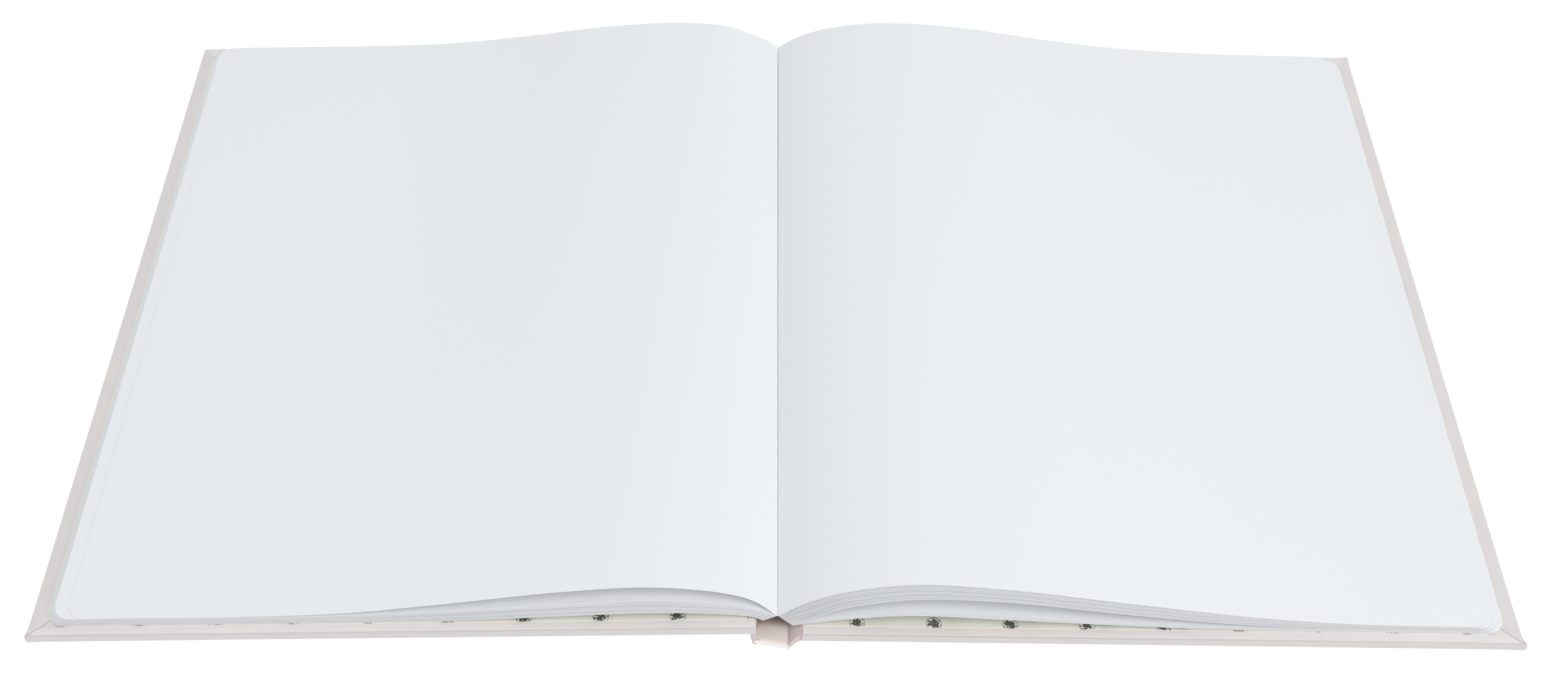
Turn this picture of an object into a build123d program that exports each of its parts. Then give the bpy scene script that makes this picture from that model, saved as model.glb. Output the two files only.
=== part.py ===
from build123d import *
import math
import os

# An open case-bound book, lying on its spine and on the fore-edges of its two covers.
# X runs across the book (front cover at -X, back cover at +X), Y runs from tail (-Y) to
# head (+Y), Z is up. The origin is on the table, under the gutter, at mid-height of the page.
# Lengths are in millimetres.

# ---- leaves ----
PAGE_WIDTH = 215.9
PAGE_HEIGHT = 279.4
PAGE_CORNER_RADIUS = 6.0
HALF_BLOCK = 2.4            # half of the closed page block, without its flyleaf
FLYLEAF = 0.2
PASTEDOWN = 0.2
LEAF_GAP = 0.05             # air between a flyleaf and the pastedown that it lies on
ARCH_TAKE_UP = 2.1          # how much further out than its own width the lowest leaf reaches
FORE_EDGE_FAN = 6.0         # how far the top leaf's edge lies back from the lowest leaf's

# ---- case ----
BOARD = 2.2
COVER_PAPER = 0.2
TURN_IN = 16.0
MITRE_SLIT = 0.3
FORE_SQUARE = 4.4           # cover beyond the leaves at the fore-edge
END_SQUARE = 3.4            # cover beyond the leaves at head and tail
SPINE_SHIFT = -1.4          # the spine board lies this far off the gutter
SPINE_SLACK = 0.2           # spine board beyond the closed block and its two covers
CORNER_FILLET = 0.6         # upright corners of the covers

# ---- how the open case lies ----
FRONT_JOINT = 6.2           # from the gutter to the front board's inner edge
BACK_JOINT = 7.2
FRONT_RISE = 5.6            # height of the front cover's underside at its inner edge
BACK_RISE = 2.5
JOINT_CLEARANCE = 0.3       # between a joint strip and the cover that it carries

# ---- the back of the block, where it hangs over the hollow of the spine ----
BACK_CREST = 8.2            # height of the fold in the glued back, under the gutter
GUTTER_Z = 9.0              # bottom of the V between the two top leaves
GUTTER_GAP = 0.15           # half of the gap between the two halves of the block

# ---- the arch of the leaves: distance from the gutter, lift above where they lie flat ----
FRONT_TOP = [(3.4, 2.6), (10.5, 6.4), (21.0, 9.6), (38.0, 11.0), (60.0, 9.9), (88.0, 6.3), (118.0, 2.2)]
FRONT_TOP_FOOT = 146.0
FRONT_UNDER = [(7.5, 0.9), (14.0, 2.0), (26.0, 2.7), (42.0, 2.6), (64.0, 1.6), (86.0, 0.55)]
FRONT_UNDER_FOOT = 106.0
FRONT_ROOT = (4.2, 7.3)     # distance and height of the lowest leaf's glued edge
BACK_TOP = [(3.6, 4.0), (10.5, 8.0), (22.0, 12.2), (42.0, 14.8), (67.0, 13.1), (100.0, 8.3), (136.0, 3.2)]
BACK_TOP_FOOT = 172.0
BACK_UNDER = [(8.0, 1.2), (15.0, 2.7), (27.0, 4.0), (46.0, 4.3), (74.0, 2.9), (105.0, 1.2)]
BACK_UNDER_FOOT = 142.0
BACK_ROOT = (4.4, 5.0)

# ---- worked out from the above ----
COVER = BOARD + 2 * COVER_PAPER
REACH = PAGE_WIDTH + ARCH_TAKE_UP                  # gutter to the lowest leaf's fore-edge
HALF_WIDTH = REACH + FORE_SQUARE
COVER_HEIGHT = PAGE_HEIGHT + 2 * END_SQUARE
SPINE_WIDTH = 2 * (HALF_BLOCK + FLYLEAF + PASTEDOWN + COVER) + SPINE_SLACK
FRONT_WIDTH = math.hypot(HALF_WIDTH - FRONT_JOINT, FRONT_RISE)
BACK_WIDTH = math.hypot(HALF_WIDTH - BACK_JOINT, BACK_RISE)
FRONT_TILT = math.atan2(FRONT_RISE, HALF_WIDTH - FRONT_JOINT)
BACK_TILT = math.atan2(BACK_RISE, HALF_WIDTH - BACK_JOINT)
FRONT = -1
BACK = 1


def slab(x0, x1, y0, y1, z0, z1):
    """A box from its lowest and highest corners."""
    return Pos((x0 + x1) / 2, (y0 + y1) / 2, (z0 + z1) / 2) * Box(x1 - x0, y1 - y0, z1 - z0)


def prism(outline, height):
    """A face drawn in the XZ plane, drawn out to half the height towards head and tail."""
    return extrude(outline, height / 2, both=True)


def lay(side, solid):
    """Sets a flat cover piece on its fore-edge, and tilts it up towards the gutter.

    A cover is modelled with its fore-edge on the Y axis and its inner edge towards +X."""
    tilt = FRONT_TILT if side == FRONT else BACK_TILT
    tilted = Rot(0, -math.degrees(tilt), 0) * solid
    placed = Pos(-HALF_WIDTH, 0, 0) * tilted
    return placed if side == FRONT else mirror(placed, about=Plane.YZ)


def one(shape):
    """The single solid that a piece is made of."""
    solids = shape.solids()
    if len(solids) != 1:
        raise ValueError("a piece came out in %d solids" % len(solids))
    return solids[0]


# ---- boards and the paper that covers them ----
def board(width):
    half = COVER_HEIGHT / 2 - COVER_PAPER
    body = slab(COVER_PAPER, width, -half, half, COVER_PAPER, COVER_PAPER + BOARD)
    corners = body.edges().filter_by(Axis.Z).group_by(Axis.X)[0]
    return fillet(corners, CORNER_FILLET - COVER_PAPER)


def mitre(end):
    """The slit where two turn-ins meet at a fore-edge corner. It runs out past their inner corner."""
    start = CORNER_FILLET
    stop = TURN_IN + MITRE_SLIT
    length = (stop - start) * math.sqrt(2)
    middle = (start + stop) / 2
    place = Pos(middle, -end * (COVER_HEIGHT / 2 - middle), COVER - COVER_PAPER / 2)
    return place * Rot(0, 0, 45 * end) * Box(length, MITRE_SLIT, COVER_PAPER)


def cover_paper(width):
    """Paper glued round a board, turned in over its fore-edge, head and tail."""
    half = COVER_HEIGHT / 2
    outside = slab(0, width, -half, half, 0, COVER)
    outside = fillet(outside.edges().filter_by(Axis.Z).group_by(Axis.X)[0], CORNER_FILLET)
    window = slab(TURN_IN, width, TURN_IN - half, half - TURN_IN, COVER - COVER_PAPER, COVER)
    return outside - board(width) - window - mitre(1) - mitre(-1)


def pastedown(width):
    """The half of an endpaper that is glued down, level over the edges of the turn-ins."""
    half = PAGE_HEIGHT / 2
    sheet = slab(FORE_SQUARE, width, -half, half, COVER, COVER + PASTEDOWN)
    corners = sheet.edges().filter_by(Axis.Z).group_by(Axis.X)[0]
    sheet = fillet(corners, PAGE_CORNER_RADIUS)
    inner = COVER_HEIGHT / 2 - TURN_IN
    return sheet + slab(TURN_IN, width, -inner, inner, COVER - COVER_PAPER, COVER)


# ---- spine ----
def spine_board():
    half = COVER_HEIGHT / 2 - COVER_PAPER
    left = SPINE_SHIFT - SPINE_WIDTH / 2
    right = SPINE_SHIFT + SPINE_WIDTH / 2
    return slab(left, right, -half, half, COVER_PAPER, COVER_PAPER + BOARD)


def joint_strip(side):
    """The cover paper between the spine board and a cover board, which bends as the cover turns.

    In front it climbs the spine board's edge first; at the back it slopes straight out."""
    edge = abs(SPINE_SHIFT + side * SPINE_WIDTH / 2) + COVER_PAPER / 2
    joint = (FRONT_JOINT if side == FRONT else BACK_JOINT) + COVER_PAPER / 2
    top = (FRONT_RISE if side == FRONT else BACK_RISE) - JOINT_CLEARANCE
    knee = COVER if side == FRONT else COVER_PAPER
    line = [(side * edge, 0), (side * edge, knee), (side * joint, top)]
    return prism(Plane.XZ * trace(Polyline(*line), line_width=COVER_PAPER), COVER_HEIGHT)


def spine_cover_paper():
    """The middle of the cover paper: under the spine board, turned in at head and tail, and
    the two joint strips."""
    half = COVER_HEIGHT / 2
    left = SPINE_SHIFT - SPINE_WIDTH / 2
    right = SPINE_SHIFT + SPINE_WIDTH / 2
    around = slab(left, right, -half, half, 0, COVER)
    window = slab(left, right, TURN_IN - half, half - TURN_IN, COVER - COVER_PAPER, COVER)
    return around - spine_board() - window + joint_strip(FRONT) + joint_strip(BACK)


# ---- block ----
def deck(side, distance):
    """Height of a pastedown's upper face at a distance from the gutter."""
    tilt = FRONT_TILT if side == FRONT else BACK_TILT
    return (HALF_WIDTH - distance) * math.tan(tilt) + (COVER + PASTEDOWN) / math.cos(tilt)


def along_deck(side, distance, lift):
    return Vector(side * distance, 0, deck(side, distance) + lift)


def leaf_line(side, start, arch, foot, flat_lift, reach):
    """The edge line of a leaf: a curve from its start, over the arch and down to its foot, and
    then straight to the fore-edge."""
    humps = [along_deck(side, d, flat_lift + lift) for d, lift in arch]
    landing = along_deck(side, foot, flat_lift)
    return Spline(start, *humps, landing), Line(landing, along_deck(side, reach, flat_lift))


def under_line(side, lift):
    """The line of the flyleaf's underside, lifted by an amount."""
    arch = FRONT_UNDER if side == FRONT else BACK_UNDER
    foot = FRONT_UNDER_FOOT if side == FRONT else BACK_UNDER_FOOT
    distance, height = FRONT_ROOT if side == FRONT else BACK_ROOT
    start = Vector(side * distance, 0, height + lift)
    return leaf_line(side, start, arch, foot, LEAF_GAP + lift, REACH)


def top_line(side):
    """The line of the topmost leaf."""
    arch = FRONT_TOP if side == FRONT else BACK_TOP
    foot = FRONT_TOP_FOOT if side == FRONT else BACK_TOP_FOOT
    start = Vector(side * GUTTER_GAP, 0, GUTTER_Z)
    flat_lift = LEAF_GAP + FLYLEAF + HALF_BLOCK
    return leaf_line(side, start, arch, foot, flat_lift, REACH - FORE_EDGE_FAN)


def round_fore_corners(solid, side, fan):
    """Rounds the two corners of the leaves at the fore-edge. The cut leans back with the leaves'
    edges, which lie further back by the fan from the lowest leaf to the topmost."""
    rise = HALF_BLOCK + FLYLEAF
    low = deck(side, REACH) - rise
    lean = Vector(-side * fan, 0, rise)
    lowest_edge = REACH + fan * (deck(side, REACH) - low) / rise
    for end in (-1, 1):
        corner_x = side * lowest_edge
        corner_y = end * PAGE_HEIGHT / 2
        inset = PAGE_CORNER_RADIUS
        square = Rectangle(2 * inset, 2 * inset)
        quarter = Pos(-side * inset, -end * inset) * Rectangle(2 * inset, 2 * inset)
        disc = Pos(-side * inset, -end * inset) * Circle(inset)
        outline = Pos(corner_x, corner_y, low) * ((square & quarter) - disc)
        solid -= extrude(outline, amount=4 * lean.length, dir=lean.normalized())
    return solid


def flyleaf(side):
    """The free half of an endpaper, under the leaves."""
    low_arch, low_flat = under_line(side, 0)
    high_arch, high_flat = under_line(side, FLYLEAF)
    fore_edge = Line(low_flat @ 1, high_flat @ 1)
    glued_edge = Line(high_arch @ 0, low_arch @ 0)
    outline = Wire([low_arch, low_flat, fore_edge, high_flat, high_arch, glued_edge])
    return round_fore_corners(prism(make_face(outline), PAGE_HEIGHT), side, 0)


def pages(side):
    """Half of the page block, from the leaf above the flyleaf to the topmost leaf."""
    low_arch, low_flat = under_line(side, FLYLEAF)
    high_arch, high_flat = top_line(side)
    crest = Vector(side * GUTTER_GAP, 0, BACK_CREST)
    fore_edge = Line(low_flat @ 1, high_flat @ 1)
    glued_back = Line(crest, low_arch @ 0)
    gutter_face = Line(high_arch @ 0, crest)
    outline = Wire([low_arch, low_flat, fore_edge, high_flat, high_arch, gutter_face, glued_back])
    return round_fore_corners(prism(make_face(outline), PAGE_HEIGHT), side, FORE_EDGE_FAN)


os.makedirs("parts", exist_ok=True)
nodes = {
    "front_board": lay(FRONT, board(FRONT_WIDTH)),
    "front_cover_paper": lay(FRONT, cover_paper(FRONT_WIDTH)),
    "front_pastedown": lay(FRONT, pastedown(FRONT_WIDTH)),
    "front_flyleaf": flyleaf(FRONT),
    "front_pages": pages(FRONT),
    "spine_board": spine_board(),
    "spine_cover_paper": spine_cover_paper(),
    "back_board": lay(BACK, board(BACK_WIDTH)),
    "back_cover_paper": lay(BACK, cover_paper(BACK_WIDTH)),
    "back_pastedown": lay(BACK, pastedown(BACK_WIDTH)),
    "back_flyleaf": flyleaf(BACK),
    "back_pages": pages(BACK),
}
for name, shape in nodes.items():
    export_step(one(shape), "parts/%s.step" % name)
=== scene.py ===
import math

import bmesh
import bpy
import numpy as np
from mathutils import Matrix, Vector


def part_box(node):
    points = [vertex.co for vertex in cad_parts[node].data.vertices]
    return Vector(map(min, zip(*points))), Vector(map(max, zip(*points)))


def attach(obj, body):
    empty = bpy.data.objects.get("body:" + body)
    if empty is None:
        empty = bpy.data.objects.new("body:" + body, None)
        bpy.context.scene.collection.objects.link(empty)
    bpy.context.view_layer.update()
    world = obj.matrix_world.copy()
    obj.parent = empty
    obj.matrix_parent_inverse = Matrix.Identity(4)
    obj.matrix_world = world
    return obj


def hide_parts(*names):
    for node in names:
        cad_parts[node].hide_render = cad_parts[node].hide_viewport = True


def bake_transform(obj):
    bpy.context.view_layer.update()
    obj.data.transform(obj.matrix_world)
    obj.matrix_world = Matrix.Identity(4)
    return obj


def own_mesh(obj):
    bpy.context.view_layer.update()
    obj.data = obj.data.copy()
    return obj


bl_info = {
    "name": "Open Book",
    "version": (1, 0, 0),
    "blender": (4, 5, 0),
    "location": "View3D > Sidebar > Book",
    "description": "Leaves, endpapers, covering paper and stage for an open case-bound book",
    "category": "Object",
}

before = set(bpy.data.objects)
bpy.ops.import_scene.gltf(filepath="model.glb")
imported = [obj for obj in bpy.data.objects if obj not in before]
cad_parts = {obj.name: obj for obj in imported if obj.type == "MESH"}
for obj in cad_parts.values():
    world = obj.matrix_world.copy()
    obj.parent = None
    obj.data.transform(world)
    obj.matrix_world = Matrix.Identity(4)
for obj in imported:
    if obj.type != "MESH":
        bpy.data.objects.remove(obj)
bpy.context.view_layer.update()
MM = 0.001
FRONT = -1
BACK = 1
NAMES = {FRONT: "front", BACK: "back"}

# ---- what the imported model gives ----
SPINE_LOW, SPINE_HIGH = (Vector(c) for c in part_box("spine_board"))
COVERING = SPINE_LOW.z                        # thickness of the covering paper
COVER = SPINE_HIGH.z + COVERING               # a board with paper on both faces
COVER_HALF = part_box("front_cover_paper")[1][1]     # from the middle to a cover's tail or head
PAGE_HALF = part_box("front_flyleaf")[1][1]          # and to a leaf's
HALF_WIDTH = -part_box("front_cover_paper")[0][0]    # from the gutter to a cover's fore-edge

# ---- thicknesses and widths that the boxes don't give ----
PASTEDOWN = 0.2 * MM
LEAF_GAP = 0.05 * MM
FLYLEAF = 0.2 * MM
HALF_BLOCK = 2.4 * MM                         # all the leaves of one half, pressed
LEAVES = 18                                   # in one half, between the opening and the flyleaf
TURN_IN = 16 * MM

TINY = 1e-6                                   # two places closer than this are the same
FACES_UP = 0.99                               # least upward part of a face that looks up


def cover_lie(side):
    """(tilt, width) of a cover, from the box of its covering paper."""
    low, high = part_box("%s_cover_paper" % NAMES[side])
    rise = high[2] - COVER
    reach = high[0] - low[0]
    return math.atan2(rise, reach), math.hypot(rise, reach)


TILT = {side: cover_lie(side)[0] for side in NAMES}
WIDTH = {side: cover_lie(side)[1] for side in NAMES}

# ---- how the leaves lie at the tail: extra height over where they lie flat, in mm, at each
# distance from the gutter. The key is the leaf's number: 0 is the flyleaf. ----
STATIONS = {
    FRONT: (7, 16, 37, 63, 100, 130, 160, 188),
    BACK: (8, 20, 40, 67, 105, 140, 172, 196),
}
ARCHES = {
    FRONT: {
        0: (0.5, 2.1, 3.05, 2.05, 0.1, 0, 0, 0),
        4: (0.8, 2.3, 3.4, 2.5, 0.4, 0, 0, 0),
        5: (0.95, 2.5, 3.75, 2.85, 0.65, 0.05, 0, 0),
        9: (1.15, 2.85, 4.25, 3.45, 1.15, 0.1, 0, 0),
        10: (1.35, 3.3, 4.95, 4.15, 1.7, 0.2, 0, 0),
        17: (1.4, 3.6, 5.75, 4.25, 1.75, 0.25, 0, 0),
        18: (4.85, 8.7, 11.7, 10.1, 4.8, 1.1, 0.1, 0.05),
    },
    BACK: {
        0: (0.55, 2.95, 5.05, 3.75, 1.55, 0.1, 0, 0),
        5: (0.85, 3.15, 5.6, 4.3, 1.7, 0.25, 0, 0),
        6: (0.95, 7.0, 11.4, 10.8, 5.6, 1.55, 0.15, 0),
        9: (2.6, 8.2, 12.3, 11.3, 6.0, 1.8, 0.2, 0),
        10: (3.1, 8.9, 12.9, 11.8, 6.35, 2.05, 0.25, 0),
        12: (4.3, 10.0, 13.8, 12.6, 6.9, 2.35, 0.3, 0),
        13: (4.8, 10.6, 14.3, 13.0, 7.2, 2.55, 0.35, 0),
        14: (5.3, 11.1, 14.7, 13.3, 7.4, 2.6, 0.4, 0),
        15: (5.95, 11.6, 15.2, 13.7, 7.8, 2.9, 0.5, 0.05),
        16: (6.05, 11.75, 15.35, 13.8, 7.9, 2.95, 0.5, 0.05),
        17: (6.95, 12.5, 16.2, 14.5, 8.6, 3.35, 0.6, 0.1),
        18: (7.2, 12.7, 16.4, 14.65, 8.7, 3.4, 0.6, 0.1),
    },
}
# Fore-edges of the same leaves, in mm from the gutter.
REACHES = {
    FRONT: {0: 217.5, 3: 217.3, 4: 216.8, 8: 216.6, 9: 216.0, 13: 215.8, 14: 215.3, 17: 215.1, 18: 210.9},
    BACK: {
        0: 217.9, 4: 217.6, 5: 216.0, 9: 215.8, 10: 214.6, 13: 214.3, 14: 213.3, 15: 213.2,
        16: 212.3, 17: 212.1, 18: 211.1,
    },
}
# Between these two distances from the gutter the leaves come to lie pressed together at the head,
# and their arch there grows lower by this share.
PRESS_STARTS = 60 * MM
PRESS_ENDS = 150 * MM
PRESS_SHARE = 0.35
# How far the top of a leaf's slope next to the gutter sinks at the head, in mm. The sinking is
# deepest at one distance from the gutter, spreads to both sides of it, and starts from nothing.
HEAD_SINKS = {FRONT: {0: 0, 17: 0, 18: 1.9}, BACK: {0: 0, 18: 0}}
SINK_DEEPEST = 8.5 * MM
SINK_SPREADS = 7.5 * MM
SINK_GROWS = 1.2 * MM
# The distance over which the gutter's fall towards the head dies out across the page.
FALL_FADES = 8 * MM
# Glued edges: the lowest leaf's and the topmost leaf's distance and height, in mm.
ROOTS = {
    FRONT: ((4.2, 7.5), (0.065, 9.7)),
    BACK: ((4.4, 5.2), (0.065, 9.6)),
}


# ---- sizes and colours that can be set ----
class BookSizes(bpy.types.PropertyGroup):
    leaf_thickness: bpy.props.FloatProperty(
        name="Leaf thickness", description="Thickness of one leaf", default=0.1 * MM, unit="LENGTH",
        precision=5,
    )
    front_pitch: bpy.props.FloatProperty(
        name="Front pitch", description="Leaf to leaf where the front half lies flat", default=0.18 * MM,
        unit="LENGTH", precision=5,
    )
    back_pitch: bpy.props.FloatProperty(
        name="Back pitch", description="Leaf to leaf where the back half lies flat", default=0.175 * MM,
        unit="LENGTH", precision=5,
    )
    corner_radius: bpy.props.FloatProperty(
        name="Page corner", description="Radius of the leaves' fore-edge corners", default=6 * MM,
        unit="LENGTH",
    )
    head_share: bpy.props.FloatProperty(
        name="Arch at the head", description="Height of the arch at the head, as a share of the tail's",
        default=0.72, min=0, max=1, subtype="FACTOR",
    )
    gutter_fall: bpy.props.FloatProperty(
        name="Gutter fall", description="How far the gutter falls from tail to head", default=1.6 * MM,
        unit="LENGTH",
    )
    paper_round: bpy.props.FloatProperty(
        name="Folded edge", description="Radius of the covering paper over a board's edge", default=0.42 * MM,
        unit="LENGTH", precision=5,
    )


class BookFinishes(bpy.types.PropertyGroup):
    page: bpy.props.FloatVectorProperty(
        name="Page", description="Uncoated white page paper", subtype="COLOR", size=3,
        default=(0.895, 0.915, 0.93),
    )
    page_edge: bpy.props.FloatVectorProperty(
        name="Page edge", description="Cut edge of the page paper", subtype="COLOR", size=3,
        default=(0.84, 0.835, 0.86),
    )
    endpaper: bpy.props.FloatVectorProperty(
        name="Endpaper", description="Cream-green ground of the printed endpaper", subtype="COLOR", size=3,
        default=(0.89, 0.89, 0.815),
    )
    ornament: bpy.props.FloatVectorProperty(
        name="Ornament", description="Grey ink of the endpaper's roundels", subtype="COLOR", size=3,
        default=(0.11, 0.115, 0.105),
    )
    covering: bpy.props.FloatVectorProperty(
        name="Covering paper", description="Pale pinkish grey covering paper", subtype="COLOR", size=3,
        default=(0.765, 0.72, 0.71),
    )
    # Partly the paper's own stains and partly painted shade: the folded-in paper at the joints is darker for
    # its stains and for the shade of the board beside it.
    joint: bpy.props.FloatVectorProperty(
        name="Joint", description="Rubbed covering paper folded in at the joints", subtype="COLOR", size=3,
        default=(0.62, 0.535, 0.515),
    )
    turn_in: bpy.props.FloatVectorProperty(
        name="Spine turn-in", description="Pinker covering paper turned in at the spine",
        subtype="COLOR", size=3, default=(0.84, 0.74, 0.70),
    )
    # Painted shade: the brown stands for the shade deeper under the block.
    painted_spine_shade: bpy.props.FloatVectorProperty(
        name="Painted shade under the block", description="Brown of the turned-in paper further in", subtype="COLOR",
        size=3, default=(0.42, 0.29, 0.24),
    )
    board: bpy.props.FloatVectorProperty(
        name="Board", description="Grey-brown binder's board", subtype="COLOR", size=3,
        default=(0.30, 0.235, 0.19),
    )
    floor: bpy.props.FloatVectorProperty(
        name="Floor", description="Plain pale floor", subtype="COLOR", size=3, default=(0.25, 0.25, 0.25),
    )


class BookStage(bpy.types.PropertyGroup):
    camera_place: bpy.props.FloatVectorProperty(
        name="Camera place", description="Where the camera stands", subtype="TRANSLATION", size=3,
        unit="LENGTH", default=(-0.0047, -0.5474, 0.5252),
    )
    pitch: bpy.props.FloatProperty(
        name="Pitch", description="How far the camera looks down", subtype="ANGLE",
        default=math.radians(44.522),
    )
    yaw: bpy.props.FloatProperty(
        name="Yaw", description="How far the camera looks to the right", subtype="ANGLE",
        default=math.radians(0.745),
    )
    roll: bpy.props.FloatProperty(
        name="Roll", description="How far the camera leans", subtype="ANGLE",
        default=math.radians(0.896),
    )
    lens: bpy.props.FloatProperty(
        name="Lens", description="Focal length on a 36 mm sensor, in mm", default=50.61, min=1
    )
    sky: bpy.props.FloatProperty(
        name="Sky", description="Strength of the even light", default=0.725, min=0
    )
    key: bpy.props.FloatProperty(
        name="Key", description="Power of the soft box", default=25.0, min=0, unit="POWER"
    )
    floor_glow: bpy.props.FloatProperty(
        name="Floor glow", description="Light that the lit floor gives off by itself", default=0.82, min=0
    )


# ---- materials ----
class Nodes:
    """A material's node tree, with short ways to add and join nodes."""

    def __init__(self, name, roughness, specular, sheen=0.0):
        self.material = bpy.data.materials.new(name)
        self.material.use_nodes = True
        self.tree = self.material.node_tree
        self.shader = self.tree.nodes["Principled BSDF"]
        self.shader.inputs["Roughness"].default_value = roughness
        self.shader.inputs["Specular IOR Level"].default_value = specular
        self.shader.inputs["Sheen Weight"].default_value = sheen
        self.place = self.add("ShaderNodeTexCoord").outputs["Object"]

    def add(self, kind, **settings):
        node = self.tree.nodes.new(kind)
        for key, value in settings.items():
            setattr(node, key, value)
        return node

    def join(self, value, socket):
        if isinstance(value, bpy.types.NodeSocket):
            self.tree.links.new(value, socket)
        else:
            socket.default_value = value

    def math(self, operation, a, b=0.0):
        node = self.add("ShaderNodeMath", operation=operation)
        self.join(a, node.inputs[0])
        self.join(b, node.inputs[1])
        return node.outputs[0]

    def axes(self, vector):
        node = self.add("ShaderNodeSeparateXYZ")
        self.join(vector, node.inputs[0])
        return node.outputs

    def noise(self, scale, detail):
        node = self.add("ShaderNodeTexNoise")
        self.join(self.place, node.inputs["Vector"])
        node.inputs["Scale"].default_value = scale
        node.inputs["Detail"].default_value = detail
        return node.outputs["Fac"]

    def ramp(self, value, low, high, to_low=0.0, to_high=1.0):
        node = self.add("ShaderNodeMapRange", interpolation_type="SMOOTHSTEP")
        self.join(value, node.inputs["Value"])
        node.inputs["From Min"].default_value = low
        node.inputs["From Max"].default_value = high
        node.inputs["To Min"].default_value = to_low
        node.inputs["To Max"].default_value = to_high
        return node.outputs["Result"]

    def mix(self, share, a, b):
        node = self.add("ShaderNodeMix", data_type="RGBA")
        self.join(share, node.inputs["Factor"])
        for value, socket in ((a, node.inputs["A"]), (b, node.inputs["B"])):
            self.join(value if isinstance(value, bpy.types.NodeSocket) else (*value, 1.0), socket)
        return node.outputs["Result"]

    def colour(self, value):
        self.join(value, self.shader.inputs["Base Color"])

    def bump(self, height, distance):
        node = self.add("ShaderNodeBump")
        self.join(height, node.inputs["Height"])
        node.inputs["Distance"].default_value = distance
        node.inputs["Strength"].default_value = 1.0
        self.join(node.outputs["Normal"], self.shader.inputs["Normal"])


def shade(colour, share):
    """A colour made darker or lighter by a share."""
    return tuple(c * share for c in colour)


def paper(name, colour, tooth=1800, mottle=0.03, roughness=0.62, depth=0.01 * MM):
    """Plain paper: a broad faint cloudiness, and a fine tooth in its surface."""
    n = Nodes(name, roughness, 0.25)
    n.colour(n.mix(n.noise(22, 3), shade(colour, 1 - mottle), shade(colour, 1 + mottle)))
    n.bump(n.noise(tooth, 4), depth)
    return n.material


# The endpapers' print: the pitch of its roundels, and where a roundel lies on each sheet.
PRINT_PITCH = 22.87 * MM
PRINT_X = {
    "front_flyleaf": -29.6 * MM, "front_pastedown": -29.6 * MM,
    "back_flyleaf": 52.4 * MM, "back_pastedown": 23.7 * MM,
}
PRINT_Y = -138.4 * MM
# A roundel: its ring, the half width of the ring's line and of its soft edge, the ornament in it,
# how ragged that is, and the circle that it keeps inside.
RING = 2.3 * MM
RING_LINE = 0.06 * MM
RING_FADES = 0.14 * MM
ORNAMENT = 1.5 * MM
ORNAMENT_FADES = 1.75 * MM
ORNAMENT_RAGGED = 6.4 * MM
ORNAMENT_KEEPS_IN = 2.25 * MM
RING_INK = 0.75                               # the ring's ink, as a share of the ornament's


def cell(n, value, start):
    """Signed distance to the nearest line of a row of lines that stand a pitch apart."""
    moved = n.math("DIVIDE", n.math("SUBTRACT", value, start), PRINT_PITCH)
    nearest = n.math("ROUND", moved)
    return n.math("MULTIPLY", n.math("SUBTRACT", moved, nearest), PRINT_PITCH)


def roundel(n, x, y):
    """One roundel round a centre: a thin ring, and a ragged dark ornament inside it."""
    radius = n.math("SQRT", n.math("ADD", n.math("MULTIPLY", x, x), n.math("MULTIPLY", y, y)))
    off_ring = n.math("ABSOLUTE", n.math("SUBTRACT", radius, RING))
    ring = n.ramp(off_ring, RING_LINE, RING_FADES, RING_INK, 0.0)
    ragged = n.math("MULTIPLY", n.math("SUBTRACT", n.noise(1500, 4), 0.5), ORNAMENT_RAGGED)
    clump = n.ramp(n.math("ADD", radius, ragged), ORNAMENT, ORNAMENT_FADES, 1.0, 0.0)
    inside = n.math("LESS_THAN", radius, ORNAMENT_KEEPS_IN)
    return n.math("MAXIMUM", ring, n.math("MULTIPLY", clump, inside))


def endpaper(name, finishes, start_x):
    """Cream-green paper with roundels in rows, every second row moved by half the pitch."""
    half = PRINT_PITCH / 2
    n = Nodes(name, 0.6, 0.25)
    x, y, _ = n.axes(n.place)
    first = roundel(n, cell(n, x, start_x), cell(n, y, PRINT_Y))
    second = roundel(n, cell(n, x, start_x + half), cell(n, y, PRINT_Y + half))
    ground = n.mix(n.noise(30, 3), shade(finishes.endpaper, 0.97), shade(finishes.endpaper, 1.03))
    n.colour(n.mix(n.math("MAXIMUM", first, second), ground, tuple(finishes.ornament)))
    n.bump(n.noise(1600, 4), 0.01 * MM)
    return n.material


# Painted shade on the covers' tail and head edges: the covering paper grows darker between these two
# distances from a cover's tail or head end, to this shade of its own colour, which covers the rest this
# strongly.
END_PAINTED_SHADE_STARTS = 0.5 * MM
END_PAINTED_SHADE_ENDS = 0.1 * MM
END_PAINTED_SHADE_TONE = 0.82
END_PAINTED_SHADE_STRENGTH = 0.8
# How much lighter the paper turned in at the tail and head is: painted light on a copy of the same covering
# paper.
TURN_IN_PAINTED_LIGHT = 1.1


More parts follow.
